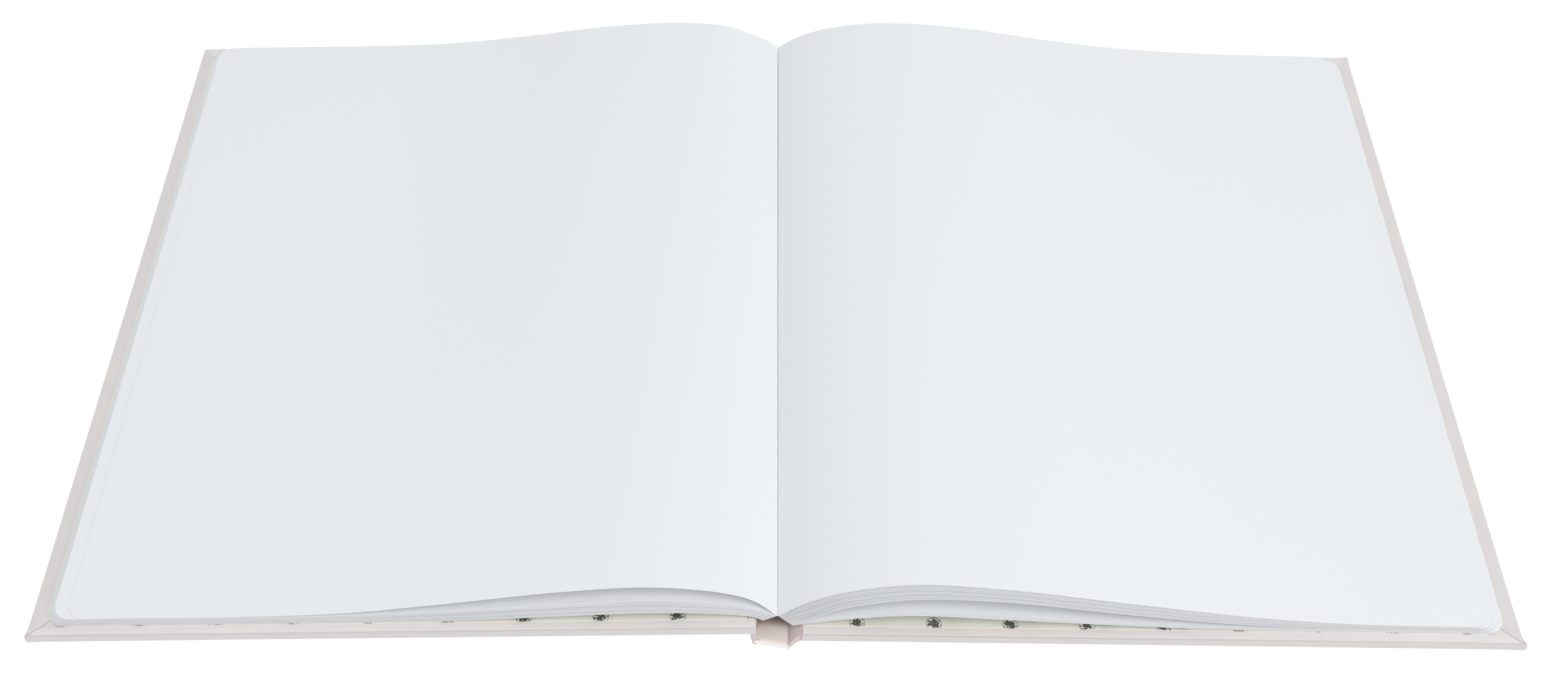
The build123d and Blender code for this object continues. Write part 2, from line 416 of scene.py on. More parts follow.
def covering_paper(name, finishes, lighter=1.0):
    """Pale pinkish covering paper, uneven in broad patches, with painted shade over the tail and head edges.
    """
    n = Nodes(name, 0.5, 0.35, sheen=0.08)
    # A lighter share above 1, as on the turn-ins, is painted light.
    broad = n.mix(
        n.noise(14, 4), shade(finishes.covering, 0.965 * lighter), shade(finishes.covering, 1.03 * lighter)
    )
    pink = n.mix(n.ramp(n.noise(45, 3), 0.45, 0.75), broad, shade(finishes.turn_in, 1.02 * lighter))
    _, y, _ = n.axes(n.place)
    from_middle = n.math("ABSOLUTE", y)
    # Painted shade over the tail and head edges.
    painted_end_shade = n.ramp(from_middle, COVER_HALF - END_PAINTED_SHADE_STARTS, COVER_HALF - END_PAINTED_SHADE_ENDS)
    uneven = n.mix(0.35, broad, pink)
    n.colour(n.mix(n.math("MULTIPLY", painted_end_shade, END_PAINTED_SHADE_STRENGTH), uneven, shade(finishes.covering, END_PAINTED_SHADE_TONE)))
    n.bump(n.math("ADD", n.noise(1300, 4), n.math("MULTIPLY", n.noise(160, 2), 1.5)), 0.012 * MM)
    return n.material


# Painted shade: at the spine's two ends the turned-in paper grows brown between these two distances from the
# end, deeper under the block, along a line that wavers this much.
PAINTED_SPINE_SHADE_STARTS = 5.0 * MM
PAINTED_SPINE_SHADE_ENDS = 10.0 * MM
PAINTED_SPINE_SHADE_WAVERS = 2.2 * MM
# The heights between which the spine paper's outer face gives way to its turned-in face, and the two shades
# that cloud the outer face, lighter than the covers' same paper: painted light.
SPINE_OUTSIDE = 1.6 * MM
SPINE_INSIDE = 2.5 * MM
SPINE_PAINTED_LIGHT = (1.12, 1.24)


def spine_paper(name, finishes):
    """The same paper at the spine: lighter outside as painted light, and inside pinker at the ends and brown
    between as painted shade under the block.
    """
    n = Nodes(name, 0.55, 0.3)
    _, y, z = n.axes(n.place)
    from_end = n.math("SUBTRACT", COVER_HALF, n.math("ABSOLUTE", y))
    wavy = n.math("ADD", from_end, n.math("MULTIPLY", n.noise(260, 3), PAINTED_SPINE_SHADE_WAVERS))
    # Painted light: the outer face is lighter than the same paper on the covers.
    outside = n.mix(n.noise(30, 3), *(shade(finishes.covering, share) for share in SPINE_PAINTED_LIGHT))
    # Painted shade: brown deeper under the block.
    inner = n.mix(n.ramp(wavy, PAINTED_SPINE_SHADE_STARTS, PAINTED_SPINE_SHADE_ENDS), tuple(finishes.turn_in), tuple(finishes.painted_spine_shade))
    n.colour(n.mix(n.ramp(z, SPINE_OUTSIDE, SPINE_INSIDE), outside, inner))
    n.bump(n.math("ADD", n.noise(900, 4), n.noise(200, 2)), 0.02 * MM)
    return n.material


def board_material(name, finishes):
    """Grey-brown board with flecks of pressed fibre."""
    n = Nodes(name, 0.9, 0.15)
    flecks = n.ramp(n.noise(900, 5), 0.35, 0.7)
    n.colour(n.mix(flecks, shade(finishes.board, 0.75), shade(finishes.board, 1.2)))
    n.bump(n.noise(600, 5), 0.05 * MM)
    return n.material


def material(name, make, *facts, **finish):
    """A material that is made once and then shared."""
    return bpy.data.materials.get(name) or make(name, *facts, **finish)


# How light the leaves' cut edges are. The tones are painted light and shade: the darker ones are painted
# shadow that stands for leaves a little further back.
EDGE_SHADE_TONES = (1.06, 0.88, 0.62)
EDGE_SHADE_ORDER = {
    FRONT: (1, 0, 1, 2, 0, 1, 0, 1, 2, 1, 0, 1, 2, 0, 1, 1, 0, 0),
    BACK: (0, 1, 0, 1, 0, 1, 0, 2, 1, 2, 0, 1, 2, 1, 0, 2, 0, 0),
}


def shaded_edge_paper(finishes, tone):
    """The cut edge of the page paper, in one of its tones of painted shade."""
    colour = shade(finishes.page_edge, EDGE_SHADE_TONES[tone])
    return material("page_edge_%d" % tone, paper, colour, tooth=2600, mottle=0.06, roughness=0.8)


# ---- meshes ----
SHARP_FROM = math.radians(40)                 # edges that bend more than this keep a sharp shading
# A leaf's net: its lines from the gutter to the fore-edge and from tail to head, with the edges
# counted, and the power that crowds the first towards the gutter.
LINES_OUTWARD = 64
LINES_UPWARD = 11
CROWDING = 1.45


def on_cover(side):
    """From a cover's own frame (fore-edge on Y, inner edge towards +X, outer face down) to its place."""
    lie = Matrix.Translation((-HALF_WIDTH, 0, 0)) @ Matrix.Rotation(-TILT[side], 4, "Y")
    return lie if side == FRONT else Matrix.Scale(-1, 4, (1, 0, 0)) @ lie


def smooth(share):
    """A share held between 0 and 1, with a soft start and end."""
    share = max(0, min(1, share))
    return share * share * (3 - 2 * share)


def keep_rims_sharp(mesh):
    """Marks a sheet's open edges, so that its rim keeps its own shading once it has a thickness."""
    bm = bmesh.new()
    bm.from_mesh(mesh)
    for edge in bm.edges:
        if edge.is_boundary:
            edge.smooth = False
    bm.to_mesh(mesh)
    bm.free()


def finish_piece(name, bm, materials, body, nodes, flip=False):
    """Makes a bmesh an object that rides on a body and stands for its nodes."""
    if flip:
        bmesh.ops.reverse_faces(bm, faces=bm.faces[:])
    mesh = bpy.data.meshes.new(name)
    bm.to_mesh(mesh)
    bm.free()
    for entry in materials:
        mesh.materials.append(entry)
    mesh.shade_smooth()
    mesh.set_sharp_from_angle(angle=SHARP_FROM)
    keep_rims_sharp(mesh)
    piece = bpy.data.objects.new(name, mesh)
    bpy.context.scene.collection.objects.link(piece)
    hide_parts(*nodes)
    if body:
        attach(piece, body)
    return piece


def slab(x0, x1, y0, y1, z0, z1):
    """A box between two places on each axis."""
    bm = bmesh.new()
    bmesh.ops.create_cube(bm, size=1)
    bmesh.ops.scale(bm, vec=(x1 - x0, y1 - y0, z1 - z0), verts=bm.verts[:])
    bmesh.ops.translate(bm, vec=((x0 + x1) / 2, (y0 + y1) / 2, (z0 + z1) / 2), verts=bm.verts[:])
    return bm


def cut(bm, place, normal, faces=None):
    """Cuts all the faces, or some of them, along a plane."""
    chosen = bm.faces[:] if faces is None else faces
    geom = {item for face in chosen for item in (face, *face.edges, *face.verts)}
    bmesh.ops.bisect_plane(bm, geom=list(geom), plane_co=place, plane_no=normal, dist=1e-7)


def round_edges(bm, edges, radius, segments):
    """Rounds some edges, in flat steps."""
    bmesh.ops.bevel(
        bm, geom=edges, offset=radius, offset_type="OFFSET", segments=segments, profile=0.5,
        affect="EDGES", material=-1, clamp_overlap=True,
    )


def flat_sheet(width, corner):
    """A flat sheet from X 0 to its width, with its two far corners rounded, cut into a net."""
    bm = bmesh.new()
    bmesh.ops.create_grid(bm, x_segments=1, y_segments=1, size=0.5)
    bmesh.ops.scale(bm, vec=(width, 2 * PAGE_HALF, 1), verts=bm.verts[:])
    bmesh.ops.translate(bm, vec=(width / 2, 0, 0), verts=bm.verts[:])
    corners = [v for v in bm.verts if v.co.x > width / 2]
    bmesh.ops.bevel(
        bm, geom=corners, offset=corner, offset_type="OFFSET", segments=10, profile=0.5,
        affect="VERTICES", material=-1, clamp_overlap=True,
    )
    for share in np.linspace(0, 1, LINES_OUTWARD)[1:-1] ** CROWDING:
        cut(bm, (width * share, 0, 0), (1, 0, 0))
    for share in np.linspace(-1, 1, LINES_UPWARD)[1:-1]:
        cut(bm, (0, PAGE_HALF * share, 0), (0, 1, 0))
    return bm


def through(points, steps=20):
    """A smooth line through points, as centripetal Catmull-Rom spans."""
    p = np.array(points, float)
    p = np.vstack([2 * p[0] - p[1], p, 2 * p[-1] - p[-2]])
    line = []
    for a, b, c, d in zip(p, p[1:], p[2:], p[3:]):
        t0 = 0.0
        t1 = t0 + math.sqrt(np.linalg.norm(b - a))
        t2 = t1 + math.sqrt(np.linalg.norm(c - b))
        t3 = t2 + math.sqrt(np.linalg.norm(d - c))
        t = np.linspace(t1, t2, steps, endpoint=False)[:, None]
        ab = (t1 - t) / (t1 - t0) * a + (t - t0) / (t1 - t0) * b
        bc = (t2 - t) / (t2 - t1) * b + (t - t1) / (t2 - t1) * c
        cd = (t3 - t) / (t3 - t2) * c + (t - t2) / (t3 - t2) * d
        abc = (t2 - t) / (t2 - t0) * ab + (t - t0) / (t2 - t0) * bc
        bcd = (t3 - t) / (t3 - t1) * bc + (t - t1) / (t3 - t1) * cd
        line.extend((t2 - t) / (t2 - t1) * abc + (t - t1) / (t2 - t1) * bcd)
    line.append(p[-2])
    return np.array(line)


def between(table, number):
    """The value for a leaf, from the leaves below and above it that a table states."""
    below = max(k for k in table if k <= number)
    above = min(k for k in table if k >= number)
    share = 0 if above == below else (number - below) / (above - below)
    return (1 - share) * np.array(table[below], float) + share * np.array(table[above], float)


def deck(side, distance):
    """Height of the pastedown's upper face."""
    return (HALF_WIDTH - distance) * math.tan(TILT[side]) + (COVER + PASTEDOWN) / math.cos(TILT[side])


def flat_lift(sizes, side, number):
    """How high a leaf's middle lies over the pastedown where it lies flat."""
    pitch = sizes.front_pitch if side == FRONT else sizes.back_pitch
    return LEAF_GAP + FLYLEAF / 2 + number * pitch


def pressed_lift(number):
    """How high a leaf's middle lies over the pastedown in a pressed stack."""
    if not number:
        return LEAF_GAP + FLYLEAF / 2
    return LEAF_GAP + FLYLEAF + (number - 0.5) * HALF_BLOCK / LEAVES


def leaf_line(sizes, side, number):
    """A leaf's line at the tail: distances, and heights over the pastedown, by arc length."""
    share = number / LEAVES
    low, high = ROOTS[side]
    root = (1 - share) * np.array(low) * MM + share * np.array(high) * MM
    flat = flat_lift(sizes, side, number)
    end = float(between(REACHES[side], number)) * MM
    points = [(root[0], root[1] - deck(side, root[0]))]
    for distance, extra in zip(STATIONS[side], between(ARCHES[side], number)):
        points.append((distance * MM, flat + extra * MM))
    points.append((end, flat))
    line = through(points)
    steps = np.linalg.norm(np.diff(line, axis=0), axis=1)
    return line, np.concatenate([[0], np.cumsum(steps)]), flat


def arch_sheet(sizes, side, number, template, width):
    """Moves a flat sheet's vertices onto a leaf's line. The arch is lower at the head.

    Past its crest a leaf's line never dips below the height at which it lies flat.
    """
    bm = template.copy()
    line, length, flat = leaf_line(sizes, side, number)
    share = number / LEAVES
    sink = float(between(HEAD_SINKS[side], number)) * MM
    loose = flat - pressed_lift(number)
    crest = STATIONS[side][2] * MM
    for v in bm.verts:
        s = v.co.x / width * length[-1]
        distance = float(np.interp(s, length, line[:, 0]))
        lift = float(np.interp(s, length, line[:, 1]))
        if distance > crest:
            lift = max(lift, flat)
        along = (v.co.y + PAGE_HALF) / (2 * PAGE_HALF)
        out = smooth((distance - PRESS_STARTS) / (PRESS_ENDS - PRESS_STARTS))
        arch = 1 - (1 - sizes.head_share * (1 - PRESS_SHARE * out)) * along
        lift = min(lift, flat) + max(lift - flat, 0) * arch - loose * out * along
        lift -= share * sizes.gutter_fall * along * math.exp(-distance / FALL_FADES)
        dip = math.exp(-((distance - SINK_DEEPEST) / SINK_SPREADS) ** 2)
        lift -= sink * along * dip * (1 - math.exp(-distance / SINK_GROWS))
        v.co = (side * distance, v.co.y, deck(side, distance) + lift)
    return bm


def add_thickness(piece, thickness, materials=0):
    """A live thickness, so that a leaf keeps it when its half of the book closes."""
    solid = piece.modifiers.new("thickness", "SOLIDIFY")
    solid.thickness = thickness
    solid.offset = 0
    solid.material_offset = materials
    solid.material_offset_rim = 1


# How much further from its cover the topmost leaf's glued edge lies in the closed block than its
# fore-edge does. The opening is not over the spine's middle, so the halves share the back unevenly.
CLOSED_BACK = {FRONT: 1.34 * MM, BACK: -1.42 * MM}


def press_flat(piece, side, number):
    """Gives a leaf its own mesh. The lean that it would take in the closed block is worked out but not used.
    """
    lean = TILT[side]
    if number:
        lean += math.atan(CLOSED_BACK[side] * (number - 1) / (LEAVES - 1) / HALF_WIDTH)
    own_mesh(piece)


# ---- operators, one for each group of pieces ----
class BOOK_OT_leaves(bpy.types.Operator):
    """Makes the single leaves of both halves of the block"""

    bl_idname = "book.leaves"
    bl_label = "Leaves"

    def execute(self, context):
        sizes, finishes = context.scene.book_sizes, context.scene.book_finishes
        page = material("page_paper", paper, finishes.page)
        width = 2 * PAGE_HALF
        template = flat_sheet(width, sizes.corner_radius)
        for side in (FRONT, BACK):
            for number in range(1, LEAVES + 1):
                # Each leaf's cut edge takes one tone of painted shade.
                edge = shaded_edge_paper(finishes, EDGE_SHADE_ORDER[side][number - 1])
                name = "%s_leaf_%02d" % (NAMES[side], number)
                bm = arch_sheet(sizes, side, number, template, width)
                body = "%s_leaves" % NAMES[side]
                nodes = ["%s_pages" % NAMES[side]]
                piece = finish_piece(name, bm, [page, edge], body, nodes, side == FRONT)
                add_thickness(piece, sizes.leaf_thickness)
                press_flat(piece, side, number)
        template.free()
        return {"FINISHED"}


class BOOK_OT_flyleaves(bpy.types.Operator):
    """Makes the free halves of the two endpapers, printed underneath"""

    bl_idname = "book.flyleaves"
    bl_label = "Flyleaves"

    def execute(self, context):
        sizes, finishes = context.scene.book_sizes, context.scene.book_finishes
        page = material("page_paper", paper, finishes.page)
        # The flyleaves' cut edges take the middle tone of painted shade.
        edge = shaded_edge_paper(finishes, 1)
        width = 2 * PAGE_HALF
        template = flat_sheet(width, sizes.corner_radius)
        for side in (FRONT, BACK):
            name = "%s_flyleaf" % NAMES[side]
            print_side = material(name + "_print", endpaper, finishes, PRINT_X[name])
            bm = arch_sheet(sizes, side, 0, template, width)
            body = "%s_leaves" % NAMES[side]
            piece = finish_piece(
                name + "_sheet", bm, [page, edge, print_side], body, [name], side == FRONT
            )
            add_thickness(piece, FLYLEAF, materials=2)
            press_flat(piece, side, 0)
        template.free()
        return {"FINISHED"}


CORNER_ROUND = 0.9 * MM                       # the covers' two fore-edge corners, seen from above
SPINE_END_ROUND = 1.15 * MM                   # the spine paper's turns at tail and head
WRAP = 0.7 * COVERING                         # thickness of the paper round the boards
JOINT_WRAP = 0.9 * COVERING                   # and over the joints
WINDOW_HALF = COVER_HALF - TURN_IN            # from the middle to the tail's or head's turn-in
# Half widths of the slits at the tail's mitres. The head's mitres have closed up.
MITRE_HALF = {FRONT: 0.07 * MM, BACK: 0.14 * MM}
# How deep a slit's middle line sinks, how far from the fore-edge that starts, and how near to the
# line a point has to be.
MITRE_DEPTH = 0.13 * MM
MITRE_SINKS_FROM = 1.2 * MM
MITRE_MIDDLE = 0.02 * MM
MITRE_LENGTH = 10 * MM                        # a mitre is longer than this
MITRE_END_FACES = 0.98                        # least diagonal part of a face at a mitre's end
# How far the thick folds of paper stand out at a cover's corners: past the fore-edge, past the
# tail (-1) or head (1), and upwards, in mm. They die out over a little more than their reach.
CORNER_FOLDS = {
    (FRONT, -1): (0.6, 0.25, 0.0), (FRONT, 1): (0.0, 0.0, 0.0),
    (BACK, -1): (1.1, 0.4, 0.1), (BACK, 1): (0.1, 0.2, 0.5),
}
FOLD_REACH = 3.2 * MM
FOLD_FADES = 1.3 * FOLD_REACH
# How far the paper stands off the tail edge, growing from nothing over the turn-in's width.
TAIL_STANDS_OFF = 0.4 * MM


def level(edge):
    """Whether an edge keeps to one height."""
    return abs(edge.verts[0].co.z - edge.verts[1].co.z) < TINY


def upward_faces(bm):
    """The faces that look up, each with its middle."""
    return [(face, face.calc_center_median()) for face in bm.faces if face.normal.z > FACES_UP]


def wrapped_board(width, radius):
    """The outside of a covered board that starts at X 0, with its corners and edges rounded."""
    bm = slab(0, width, -COVER_HALF, COVER_HALF, 0, COVER)
    corners = [e for e in bm.edges if not level(e) and e.verts[0].co.x < width / 2]
    round_edges(bm, corners, CORNER_ROUND, 5)
    round_edges(bm, [e for e in bm.edges if level(e)], radius, 4)
    return bm


def cut_mitres(bm):
    """Cuts the turn-ins' inner edges and the mitres between them. Gives the mitres' edges."""
    cut(bm, (TURN_IN, 0, 0), (1, 0, 0))
    for end in (-1, 1):
        cut(bm, (0, end * WINDOW_HALF, 0), (0, 1, 0))
    for end in (-1, 1):
        corner = [
            face for face, middle in upward_faces(bm)
            if middle.x < TURN_IN and end * middle.y > WINDOW_HALF
        ]
        cut(bm, (0, end * COVER_HALF, COVER), (1, end, 0), corner)
    mitres = []
    for edge in bm.edges:
        first, last = edge.verts[0].co, edge.verts[1].co
        slanted = abs(abs(first.x - last.x) - abs(first.y - last.y)) < TINY
        if slanted and edge.calc_length() > MITRE_LENGTH and abs(first.z - COVER) < TINY:
            mitres.append(edge)
    if len(mitres) != 2:
        raise RuntimeError("a cover has %d mitres" % len(mitres))
    return mitres


def open_tail_mitre(bm, mitres, half):
    """Opens the tail's mitre to a narrow slit with a sunk middle, in the second material, which is painted
    shade.
    """
    made = bmesh.ops.bevel(
        bm, geom=[e for e in mitres if e.verts[0].co.y < 0], offset=half, offset_type="OFFSET",
        segments=2, profile=0.5, affect="EDGES", material=-1, clamp_overlap=True,
    )
    for v in made["verts"]:
        off_middle = abs(v.co.x - (COVER_HALF - abs(v.co.y)))
        if off_middle < MITRE_MIDDLE and v.co.x > MITRE_SINKS_FROM:
            v.co.z -= MITRE_DEPTH
    for face in made["faces"]:
        face.material_index = 1


def open_window(bm, from_x):
    """Takes away the upper layer between the turn-ins, past one place on X."""
    window = [
        face for face, middle in upward_faces(bm)
        if middle.x > from_x and abs(middle.y) < WINDOW_HALF
    ]
    bmesh.ops.delete(bm, geom=window, context="FACES")


def choose_papers(bm):
    """Gives the tail mitre's end the second material, painted shade, and the tail's and head's turn-ins the
    third, painted light.
    """
    diagonal = Vector((-1, -1, 0)).normalized()
    for face in bm.faces:
        middle = face.calc_center_median()
        painted_light_turn_in = face.normal.z > FACES_UP and middle.x > COVER_HALF - abs(middle.y)
        if face.normal.dot(diagonal) > MITRE_END_FACES and middle.y < 0:
            face.material_index = 1
        elif painted_light_turn_in and not face.material_index:
            face.material_index = 2


def fold_corners(bm, side):
    """Swells the paper where its folds lie over each other at the two fore-edge corners."""
    cut(bm, (FOLD_REACH, 0, 0), (1, 0, 0))
    for end in (-1, 1):
        cut(bm, (0, end * (COVER_HALF - FOLD_REACH), 0), (0, 1, 0))
        past, along, up = (value * MM for value in CORNER_FOLDS[side, end])
        for v in bm.verts:
            near = smooth(1 - math.hypot(v.co.x, COVER_HALF - end * v.co.y) / FOLD_FADES)
            v.co += Vector((-past, end * along, up * v.co.z / COVER)) * near
    for v in bm.verts:
        beyond = (-v.co.y - WINDOW_HALF) / TURN_IN
        if beyond > 0:
            v.co.y -= TAIL_STANDS_OFF * beyond


class BOOK_OT_covers(bpy.types.Operator):
    """Makes the covering paper of the two cover boards, with turn-ins and mitres"""

    bl_idname = "book.covers"
    bl_label = "Covering paper"

    def execute(self, context):
        sizes, finishes = context.scene.book_sizes, context.scene.book_finishes
        covering = material("covering_paper", covering_paper, finishes)
        # Painted shade for the tail's mitre slits and the mitre's end.
        slit_shade = shade(finishes.covering, 0.28)
        slit = material("mitre_shade", paper, slit_shade, tooth=1500, mottle=0.1, roughness=0.8)
        # A lighter copy of the covering paper, painted light, for the tail's and head's turn-ins.
        painted_light_turn_in = material("turn_in_paper", covering_paper, finishes, TURN_IN_PAINTED_LIGHT)
        for side in (FRONT, BACK):
            bm = wrapped_board(WIDTH[side], sizes.paper_round)
            mitres = cut_mitres(bm)
            open_tail_mitre(bm, mitres, MITRE_HALF[side])
            open_window(bm, TURN_IN)
            choose_papers(bm)
            fold_corners(bm, side)
            bmesh.ops.recalc_face_normals(bm, faces=bm.faces[:])
            bmesh.ops.solidify(bm, geom=bm.faces[:], thickness=WRAP)
            bmesh.ops.transform(bm, matrix=on_cover(side), verts=bm.verts[:])
            name = "%s_cover_paper" % NAMES[side]
            papers = [covering, slit, painted_light_turn_in]
            body = "%s_cover" % NAMES[side]
            finish_piece(name + "_wrap", bm, papers, body, [name], side == BACK)
        return {"FINISHED"}


# The spine paper's back corner at the tail is pulled this far towards the tail, starting this far
# from the end. Past the spine board's edge the pull dies out over a short width.
SPINE_STANDS_OUT = 1.9 * MM
PULL_LENGTH = 25 * MM
PULL_FADES = 2.6 * MM
# It is also pulled this far towards the front, and further by the second value at the bottom.
PULL_FRONTWARD = 0.45 * MM
PULL_FURTHER_BELOW = 0.85 * MM
# The powers by which the pull gathers at the corner, over the spine and past its edge.
PULL_GATHERS = 1.5
PULL_LETS_GO = 1.2


def pull_tail_corner(bm):
    """Pulls the paper at the spine's back corner towards the tail and the front."""
    start = COVER_HALF - PULL_LENGTH
    cut(bm, (0, -start, 0), (0, 1, 0))
    for v in bm.verts:
        along = (-v.co.y - start) / PULL_LENGTH
        if along > 0:
            across = min((v.co.x - SPINE_LOW.x) / (SPINE_HIGH.x - SPINE_LOW.x), 1)
            past = max(0, min(1, 1 - (v.co.x - SPINE_HIGH.x) / PULL_FADES))
            pulled = max(across, 0) ** PULL_GATHERS * past ** PULL_LETS_GO * along
            depth = 1 - min(v.co.z / COVER, 1)
            v.co.y -= SPINE_STANDS_OUT * pulled
            v.co.x -= (PULL_FRONTWARD + PULL_FURTHER_BELOW * depth) * pulled


class BOOK_OT_spine(bpy.types.Operator):
    """Makes the covering paper of the spine board, turned in at head and tail"""

    bl_idname = "book.spine"
    bl_label = "Spine paper"

    def execute(self, context):
        covering = material("spine_paper", spine_paper, context.scene.book_finishes)
        bm = slab(SPINE_LOW.x, SPINE_HIGH.x, -COVER_HALF, COVER_HALF, 0, COVER)
        ends = [e for e in bm.edges if level(e) and abs(e.verts[0].co.y - e.verts[1].co.y) < TINY]
        round_edges(bm, ends, SPINE_END_ROUND, 6)
        pull_tail_corner(bm)
        for end in (-1, 1):
            cut(bm, (0, end * WINDOW_HALF, 0), (0, 1, 0))
        open_window(bm, SPINE_LOW.x)
        bmesh.ops.recalc_face_normals(bm, faces=bm.faces[:])
        bmesh.ops.solidify(bm, geom=bm.faces[:], thickness=WRAP)
        finish_piece("spine_cover_wrap", bm, [covering], "spine", ["spine_cover_paper"])
        return {"FINISHED"}


# The covering paper over the joints, as X and Z in mm from the spine board's edge to the cover: the
# line of its outer layer, and the line of the layer that is turned in at head and tail.
JOINT_OUTER = {
    FRONT: [(-7.15, 0.12), (-7.5, 1.6), (-7.8, 3.2), (-8.0, 4.5), (-8.0, 5.4)],
    BACK: [(4.0, 0.12), (4.6, 1.0), (5.5, 1.75), (6.5, 2.15), (7.6, 2.4)],
}
JOINT_INNER = {
    FRONT: [(-6.0, 2.65), (-6.05, 3.6), (-6.1, 4.6), (-6.2, 5.5)],
    BACK: [(3.5, 2.65), (4.3, 3.5), (5.6, 4.4), (7.35, 5.08)],
}


def loft(lines, y0, y1, closed):
    """Draws a line, or a loop of two lines, along Y."""
    points = [point for line in lines for point in line]
    bm = bmesh.new()
    verts = [bm.verts.new((x, y0, z)) for x, z in points]
    edges = [bm.edges.new(pair) for pair in zip(verts, verts[1:])]
    if closed:
        edges.append(bm.edges.new((verts[-1], verts[0])))
        face = bm.faces.new(verts)
        made = bmesh.ops.extrude_face_region(bm, geom=[face])["geom"]
    else:
        made = bmesh.ops.extrude_edge_only(bm, edges=edges)["geom"]
    far = [item for item in made if isinstance(item, bmesh.types.BMVert)]
    bmesh.ops.translate(bm, vec=(0, y1 - y0, 0), verts=far)
    return bm


# The joint's paper ends this far short of the cover's end. Its folded-in ends reach past it by the
# second value, and lie outside it by the third, so that the two never coincide.
JOINT_SHORT = 0.25 * MM
FOLD_REACHES_PAST = 0.2 * MM
FOLD_STANDS_PROUD = 0.04 * MM
FOLD_ROUND = 0.3 * MM
JOINT_HALF = COVER_HALF - JOINT_SHORT
JOINT_LINES = 9                               # lines across a joint's paper, ends counted
LINE_STEPS = 4                                # steps from one point of a joint's line to the next


def set_off(line, other, gap):
    """A line moved by the gap, away from another line."""
    along = np.gradient(line, axis=0)
    across = np.column_stack([-along[:, 1], along[:, 0]]) / np.linalg.norm(along, axis=1)[:, None]
    away = 1 if (across * (line - other.mean(axis=0))).sum() > 0 else -1
    return line + away * gap * across


def joint_strip(outer):
    """The paper over a joint, cut across so that it can bend."""
    strip = loft([outer], -JOINT_HALF, JOINT_HALF, False)
    for share in np.linspace(-1, 1, JOINT_LINES)[1:-1]:
        cut(strip, (0, COVER_HALF * share, 0), (0, 1, 0))
    bmesh.ops.recalc_face_normals(strip, faces=strip.faces[:])
    bmesh.ops.solidify(strip, geom=strip.faces[:], thickness=JOINT_WRAP)
    return strip


def joint_turn_in(outer, inner, end):
    """A joint's folded-in end, with its outer face in the second material."""
    tip = JOINT_HALF + FOLD_REACHES_PAST
    proud = set_off(outer, inner, FOLD_STANDS_PROUD)
    fold = loft([proud, inner[::-1]], end * tip, end * (JOINT_HALF - TURN_IN), True)
    bmesh.ops.recalc_face_normals(fold, faces=fold.faces[:])
    outside = {(round(x, 6), round(z, 6)) for x, z in proud}
    for face in fold.faces:
        if all((round(v.co.x, 6), round(v.co.z, 6)) in outside for v in face.verts):
            face.material_index = 1
    outward = [e for e in fold.edges if all(abs(abs(v.co.y) - tip) < TINY for v in e.verts)]
    round_edges(fold, outward, FOLD_ROUND, 3)
    return fold


class BOOK_OT_joints(bpy.types.Operator):
    """Makes the covering paper over the two joints, where the real book bends as a cover turns"""

    bl_idname = "book.joints"
    bl_label = "Joints"

    def execute(self, context):
        finishes = context.scene.book_finishes
        covering = material("covering_paper", covering_paper, finishes)
        # The joints' folded-in ends: stains and painted shade in one colour.
        folded = material(
            "joint_fold", paper, finishes.joint, tooth=900, mottle=0.12, roughness=0.6, depth=0.03 * MM
        )
        for side in (FRONT, BACK):
            outer = through([(x * MM, z * MM) for x, z in JOINT_OUTER[side]], LINE_STEPS)
            inner = through([(x * MM, z * MM) for x, z in JOINT_INNER[side]], LINE_STEPS)
            made = {
                "joint_paper": joint_strip(outer),
                "joint_turn_in_tail": joint_turn_in(outer, inner, -1),
                "joint_turn_in_head": joint_turn_in(outer, inner, 1),
            }
            if side == BACK:
                pull_tail_corner(made["joint_paper"])
                pull_tail_corner(made["joint_turn_in_tail"])
            for word, bm in made.items():
                name = "%s_%s" % (NAMES[side], word)
                chosen = [covering] if word == "joint_paper" else [folded, covering]
                piece = finish_piece(name, bm, chosen, None, ["spine_cover_paper"])
                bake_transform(piece)
        return {"FINISHED"}


class BOOK_OT_kept_parts(bpy.types.Operator):
    """Gives the boards and pastedowns their materials"""

    bl_idname = "book.kept_parts"
    bl_label = "Boards and pastedowns"

    def execute(self, context):
        finishes = context.scene.book_finishes
        board = material("binders_board", board_material, finishes)
        chosen = {"front_board": board, "back_board": board, "spine_board": board}
        for side in (FRONT, BACK):
            name = "%s_pastedown" % NAMES[side]
            chosen[name] = material(name + "_print", endpaper, finishes, PRINT_X[name])
        for name, entry in chosen.items():
            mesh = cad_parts[name].data
            mesh.materials.clear()
            mesh.materials.append(entry)
        return {"FINISHED"}


FLOOR_HALF = 12
FLOOR_BELOW = 0.1 * MM                        # keeps the floor clear of the covers' undersides
SKY_COLOUR = (0.97, 0.985, 1.0, 1)
SOFT_BOX_WIDTH = 1.7
SOFT_BOX_PLACE = (1.25, -1.45, 1.95)
SENSOR_WIDTH = 36                             # in mm, as Blender's cameras are
CLIP_START = 0.01


def make_floor(scene, glow, colour):
    """A pale floor that gives off light of its own."""
    bm = bmesh.new()
    bmesh.ops.create_grid(bm, x_segments=1, y_segments=1, size=FLOOR_HALF)
    mesh = bpy.data.meshes.new("floor")
    bm.to_mesh(mesh)
    bm.free()
    n = Nodes("floor", 1.0, 0.0)
    n.colour((*colour, 1.0))
    n.shader.inputs["Emission Color"].default_value = (1, 1, 1, 1)
    n.shader.inputs["Emission Strength"].default_value = glow
    mesh.materials.append(n.material)
    floor = bpy.data.objects.new("floor", mesh)
    floor.location.z = -FLOOR_BELOW
    scene.collection.objects.link(floor)


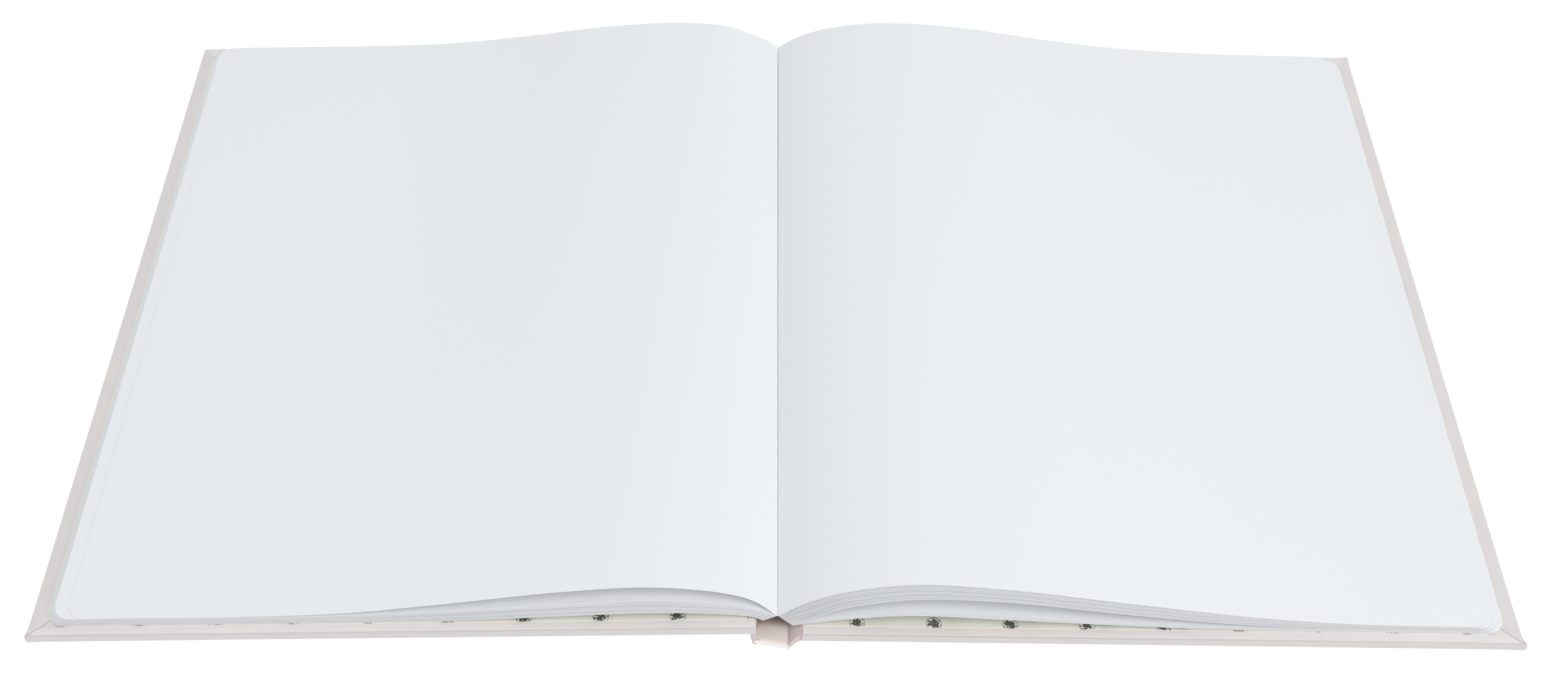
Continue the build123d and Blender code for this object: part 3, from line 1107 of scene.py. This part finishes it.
def make_lights(scene, sky, key):
    """An even light from all round, and one soft box."""
    world = bpy.data.worlds.new("studio")
    world.use_nodes = True
    background = world.node_tree.nodes["Background"]
    background.inputs["Color"].default_value = SKY_COLOUR
    background.inputs["Strength"].default_value = sky
    scene.world = world
    box = bpy.data.lights.new("soft_box", "AREA")
    box.shape = "DISK"
    box.size = SOFT_BOX_WIDTH
    box.energy = key
    light = bpy.data.objects.new("soft_box", box)
    light.location = SOFT_BOX_PLACE
    light.rotation_euler = (-light.location).to_track_quat("-Z", "Y").to_euler()
    scene.collection.objects.link(light)


def make_camera(scene, stage):
    """The camera, with its place, angles and lens from the stage's settings."""
    lens = bpy.data.cameras.new("camera")
    lens.lens = stage.lens
    lens.sensor_width = SENSOR_WIDTH
    lens.clip_start = CLIP_START
    camera = bpy.data.objects.new("camera", lens)
    turn = Matrix.Rotation(-stage.yaw, 4, "Z") @ Matrix.Rotation(math.pi / 2 - stage.pitch, 4, "X")
    lean = Matrix.Rotation(stage.roll, 4, "Z")
    camera.matrix_world = Matrix.Translation(stage.camera_place) @ turn @ lean
    scene.collection.objects.link(camera)
    scene.camera = camera


class BOOK_OT_stage(bpy.types.Operator):
    """Makes the floor, the lights and the camera"""

    bl_idname = "book.stage"
    bl_label = "Stage"

    def execute(self, context):
        scene = context.scene
        stage = scene.book_stage
        make_floor(scene, stage.floor_glow, scene.book_finishes.floor)
        make_lights(scene, stage.sky, stage.key)
        make_camera(scene, stage)
        scene.view_settings.view_transform = "Standard"
        return {"FINISHED"}


STEPS = (
    BOOK_OT_stage, BOOK_OT_kept_parts, BOOK_OT_covers, BOOK_OT_spine, BOOK_OT_joints,
    BOOK_OT_flyleaves, BOOK_OT_leaves,
)


class BOOK_PT_panel(bpy.types.Panel):
    """Lists the book's steps, sizes and colours"""

    bl_idname = "BOOK_PT_panel"
    bl_label = "Open Book"
    bl_space_type = "VIEW_3D"
    bl_region_type = "UI"
    bl_category = "Book"

    def draw(self, context):
        for step in STEPS:
            self.layout.operator(step.bl_idname)
        for group in (context.scene.book_sizes, context.scene.book_finishes, context.scene.book_stage):
            for key in group.bl_rna.properties.keys():
                if key not in ("rna_type", "name"):
                    self.layout.prop(group, key)


GROUPS = {"book_sizes": BookSizes, "book_finishes": BookFinishes, "book_stage": BookStage}


def register():
    for entry in (*GROUPS.values(), *STEPS, BOOK_PT_panel):
        bpy.utils.register_class(entry)
    for key, group in GROUPS.items():
        setattr(bpy.types.Scene, key, bpy.props.PointerProperty(type=group))


def unregister():
    for key in GROUPS:
        delattr(bpy.types.Scene, key)
    for entry in reversed((*GROUPS.values(), *STEPS, BOOK_PT_panel)):
        bpy.utils.unregister_class(entry)


def main():
    register()
    for step in STEPS:
        group, name = step.bl_idname.split(".")
        getattr(getattr(bpy.ops, group), name)()


if __name__ == "__main__":
    main()
